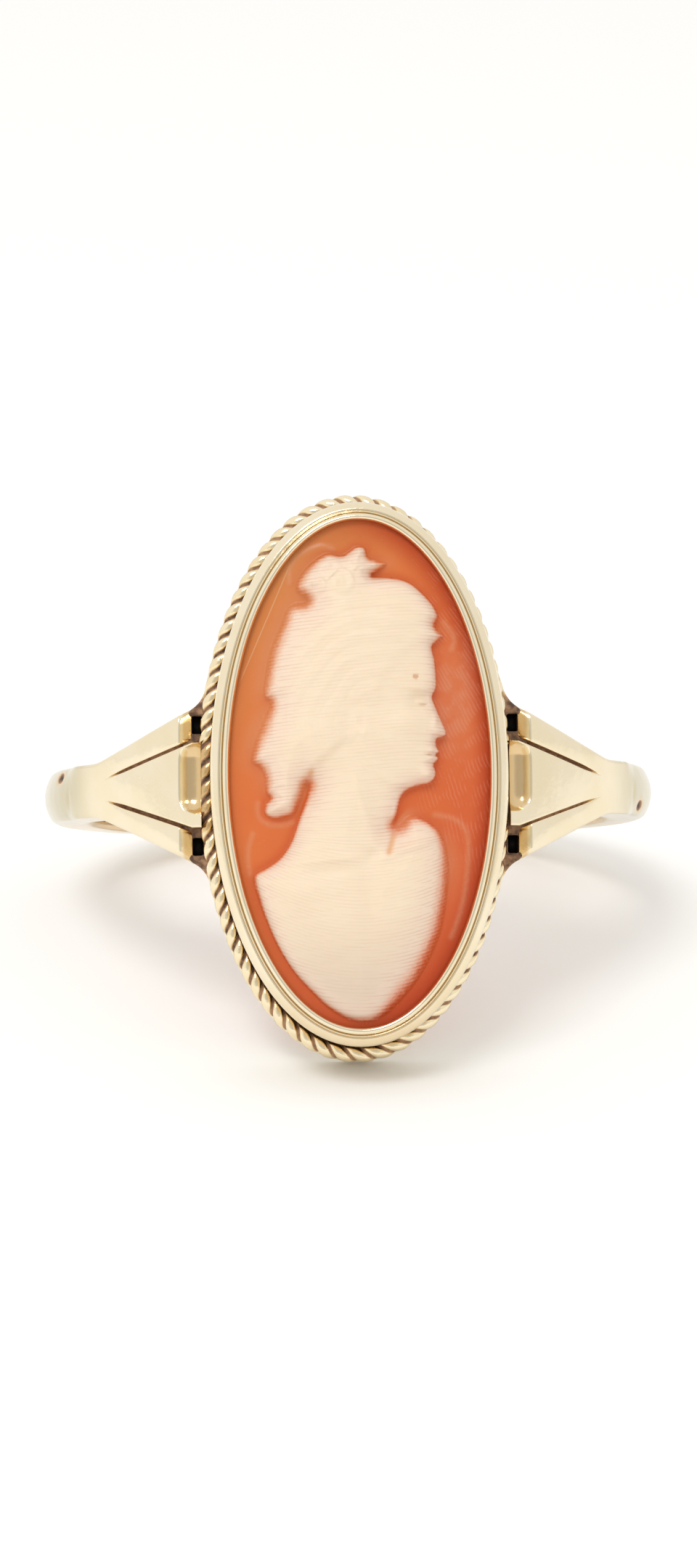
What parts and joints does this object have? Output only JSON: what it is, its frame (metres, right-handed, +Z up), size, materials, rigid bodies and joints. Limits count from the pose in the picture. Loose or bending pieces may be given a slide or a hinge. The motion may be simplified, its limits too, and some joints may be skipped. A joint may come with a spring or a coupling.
{
  "type": "cameo ring",
  "caption": "Gold ring with a tall oval shell cameo of a bust, a plain stepped bezel, a twisted rope border and flared, grooved shoulders.",
  "frame": {"origin": "on the table, under the middle of the ring as it lies on its side", "axes": "+Z up from the table, -Y is the way the head faces (it looks up by the ring's lean, about 22 degrees), +X to the right as one looks at the head"},
  "size_m": [0.0202, 0.0238, 0.0171],
  "materials": {
    "gold": "polished pale yellow gold, lightly worn",
    "rope_gold": "polished twisted gold wire, dark in the hollows of the twist",
    "shell": "carved and polished shell, cream figure on an orange ground"
  },
  "bodies": {
    "root": {"band_and_setting": "gold", "rope_border": "rope_gold", "cameo": "shell"}
  },
  "joints": []
}
